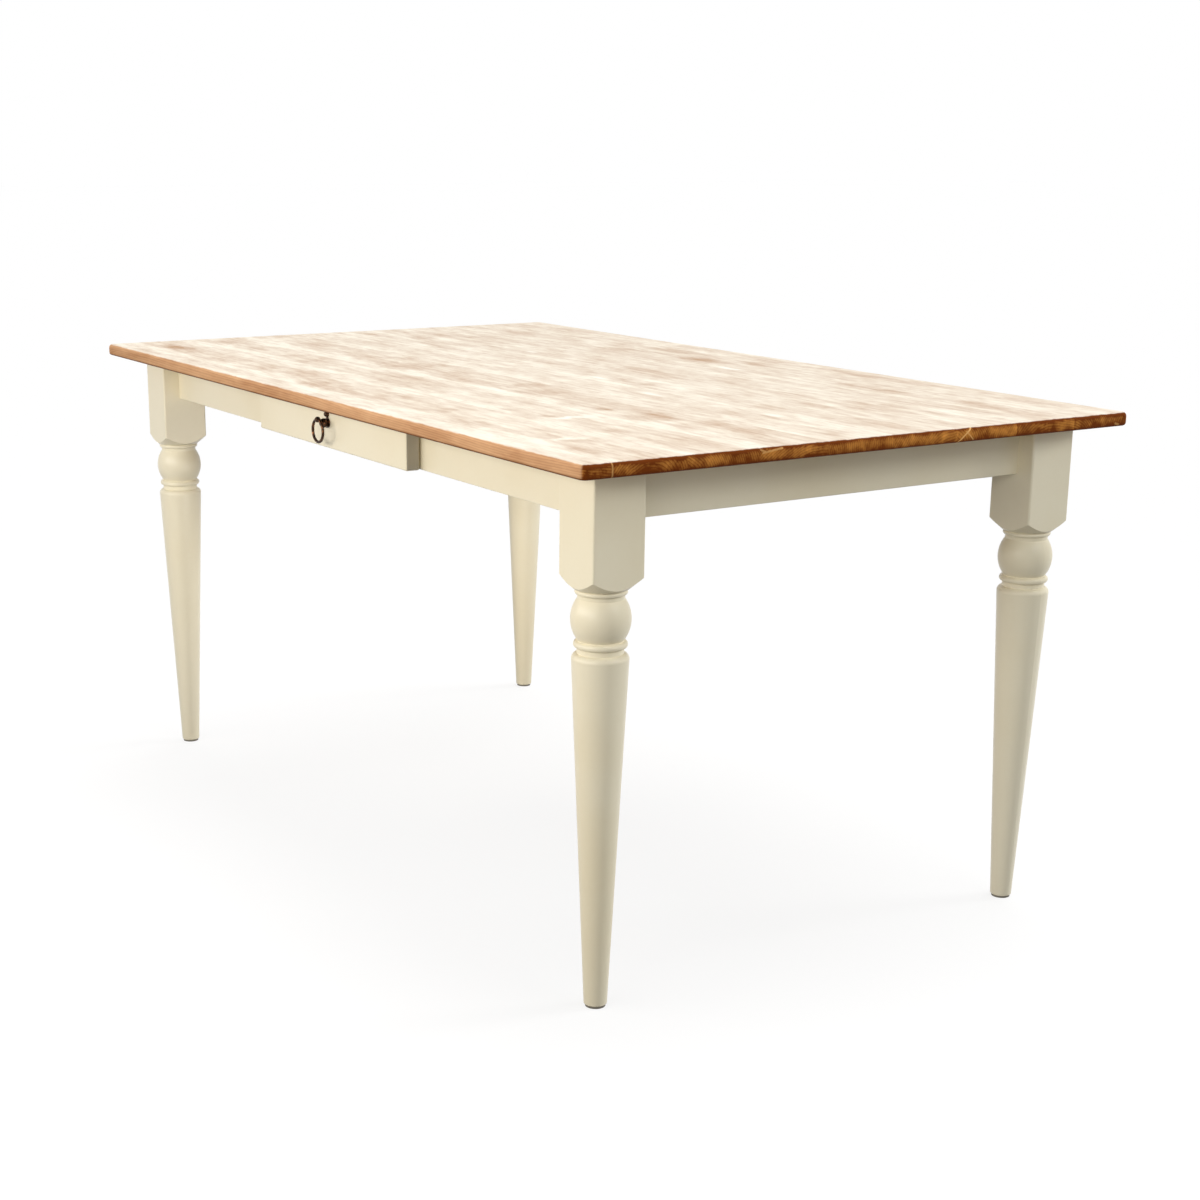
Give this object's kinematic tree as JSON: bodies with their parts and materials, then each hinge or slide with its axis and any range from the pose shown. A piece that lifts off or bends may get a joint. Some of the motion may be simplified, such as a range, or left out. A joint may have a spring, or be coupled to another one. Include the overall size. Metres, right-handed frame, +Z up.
{
  "type": "dining table",
  "caption": "Rectangular dining table with a board top, a painted base on turned tapered legs, and a shallow apron drawer opened by a hanging ring pull.",
  "frame": {"origin": "on the floor, under the middle of the top", "axes": "+Z up, +X along the table, the drawer faces -Y"},
  "size_m": [1.6, 0.95, 0.76],
  "materials": {
    "top_wood": "washed matt pine",
    "painted_wood": "cream satin paint",
    "bare_wood": "planed, unfinished",
    "plywood": "sanded",
    "dark_bronze": "dark patina",
    "zinc_steel": "zinc plated",
    "glide": "matt"
  },
  "bodies": {
    "table": {"back_apron": "painted_wood", "bolt_nuts": "zinc_steel", "bolt_washers": "zinc_steel", "button_screws": "zinc_steel", "corner_block_back_left": "bare_wood", "corner_block_back_right": "bare_wood", "corner_block_front_left": "bare_wood", "corner_block_front_right": "bare_wood", "drawer_kicker_left": "bare_wood", "drawer_kicker_right": "bare_wood", "drawer_rail_lower": "painted_wood", "drawer_rail_upper": "painted_wood", "drawer_runner_left": "bare_wood", "drawer_runner_right": "bare_wood", "drawer_stops": "bare_wood", "end_apron_left": "painted_wood", "end_apron_right": "painted_wood", "foot_glides": "glide", "front_apron_left": "painted_wood", "front_apron_right": "painted_wood", "hanger_bolts": "zinc_steel", "kicker_screws": "zinc_steel", "leg_back_left": "painted_wood", "leg_back_right": "painted_wood", "leg_front_left": "painted_wood", "leg_front_right": "painted_wood", "top_board_1": "top_wood", "top_board_2": "top_wood", "top_board_3": "top_wood", "top_board_4": "top_wood", "top_board_5": "top_wood", "top_board_6": "top_wood", "top_board_7": "top_wood", "top_board_8": "top_wood", "top_buttons": "bare_wood", "top_edge_strip": "top_wood"},
    "drawer": {"drawer_front": "painted_wood", "drawer_box_front": "bare_wood", "drawer_side_left": "bare_wood", "drawer_side_right": "bare_wood", "drawer_back": "bare_wood", "drawer_bottom": "plywood", "drawer_front_screws": "zinc_steel", "pull_backplate": "dark_bronze", "pull_post": "dark_bronze", "pull_washer": "zinc_steel", "pull_nut": "zinc_steel"},
    "ring": {"pull_ring": "dark_bronze"}
  },
  "joints": [
    {"name": "drawer_slide", "type": "slide", "parent": "table", "child": "drawer", "axis": [0, -1, 0], "range_m": [0, 0.3]},
    {"name": "ring_swing", "type": "hinge", "parent": "drawer", "child": "ring", "pos_m": [0, -0.4345, 0.714], "axis": [-1, 0, 0], "range_deg": [-24, 110]}
  ]
}
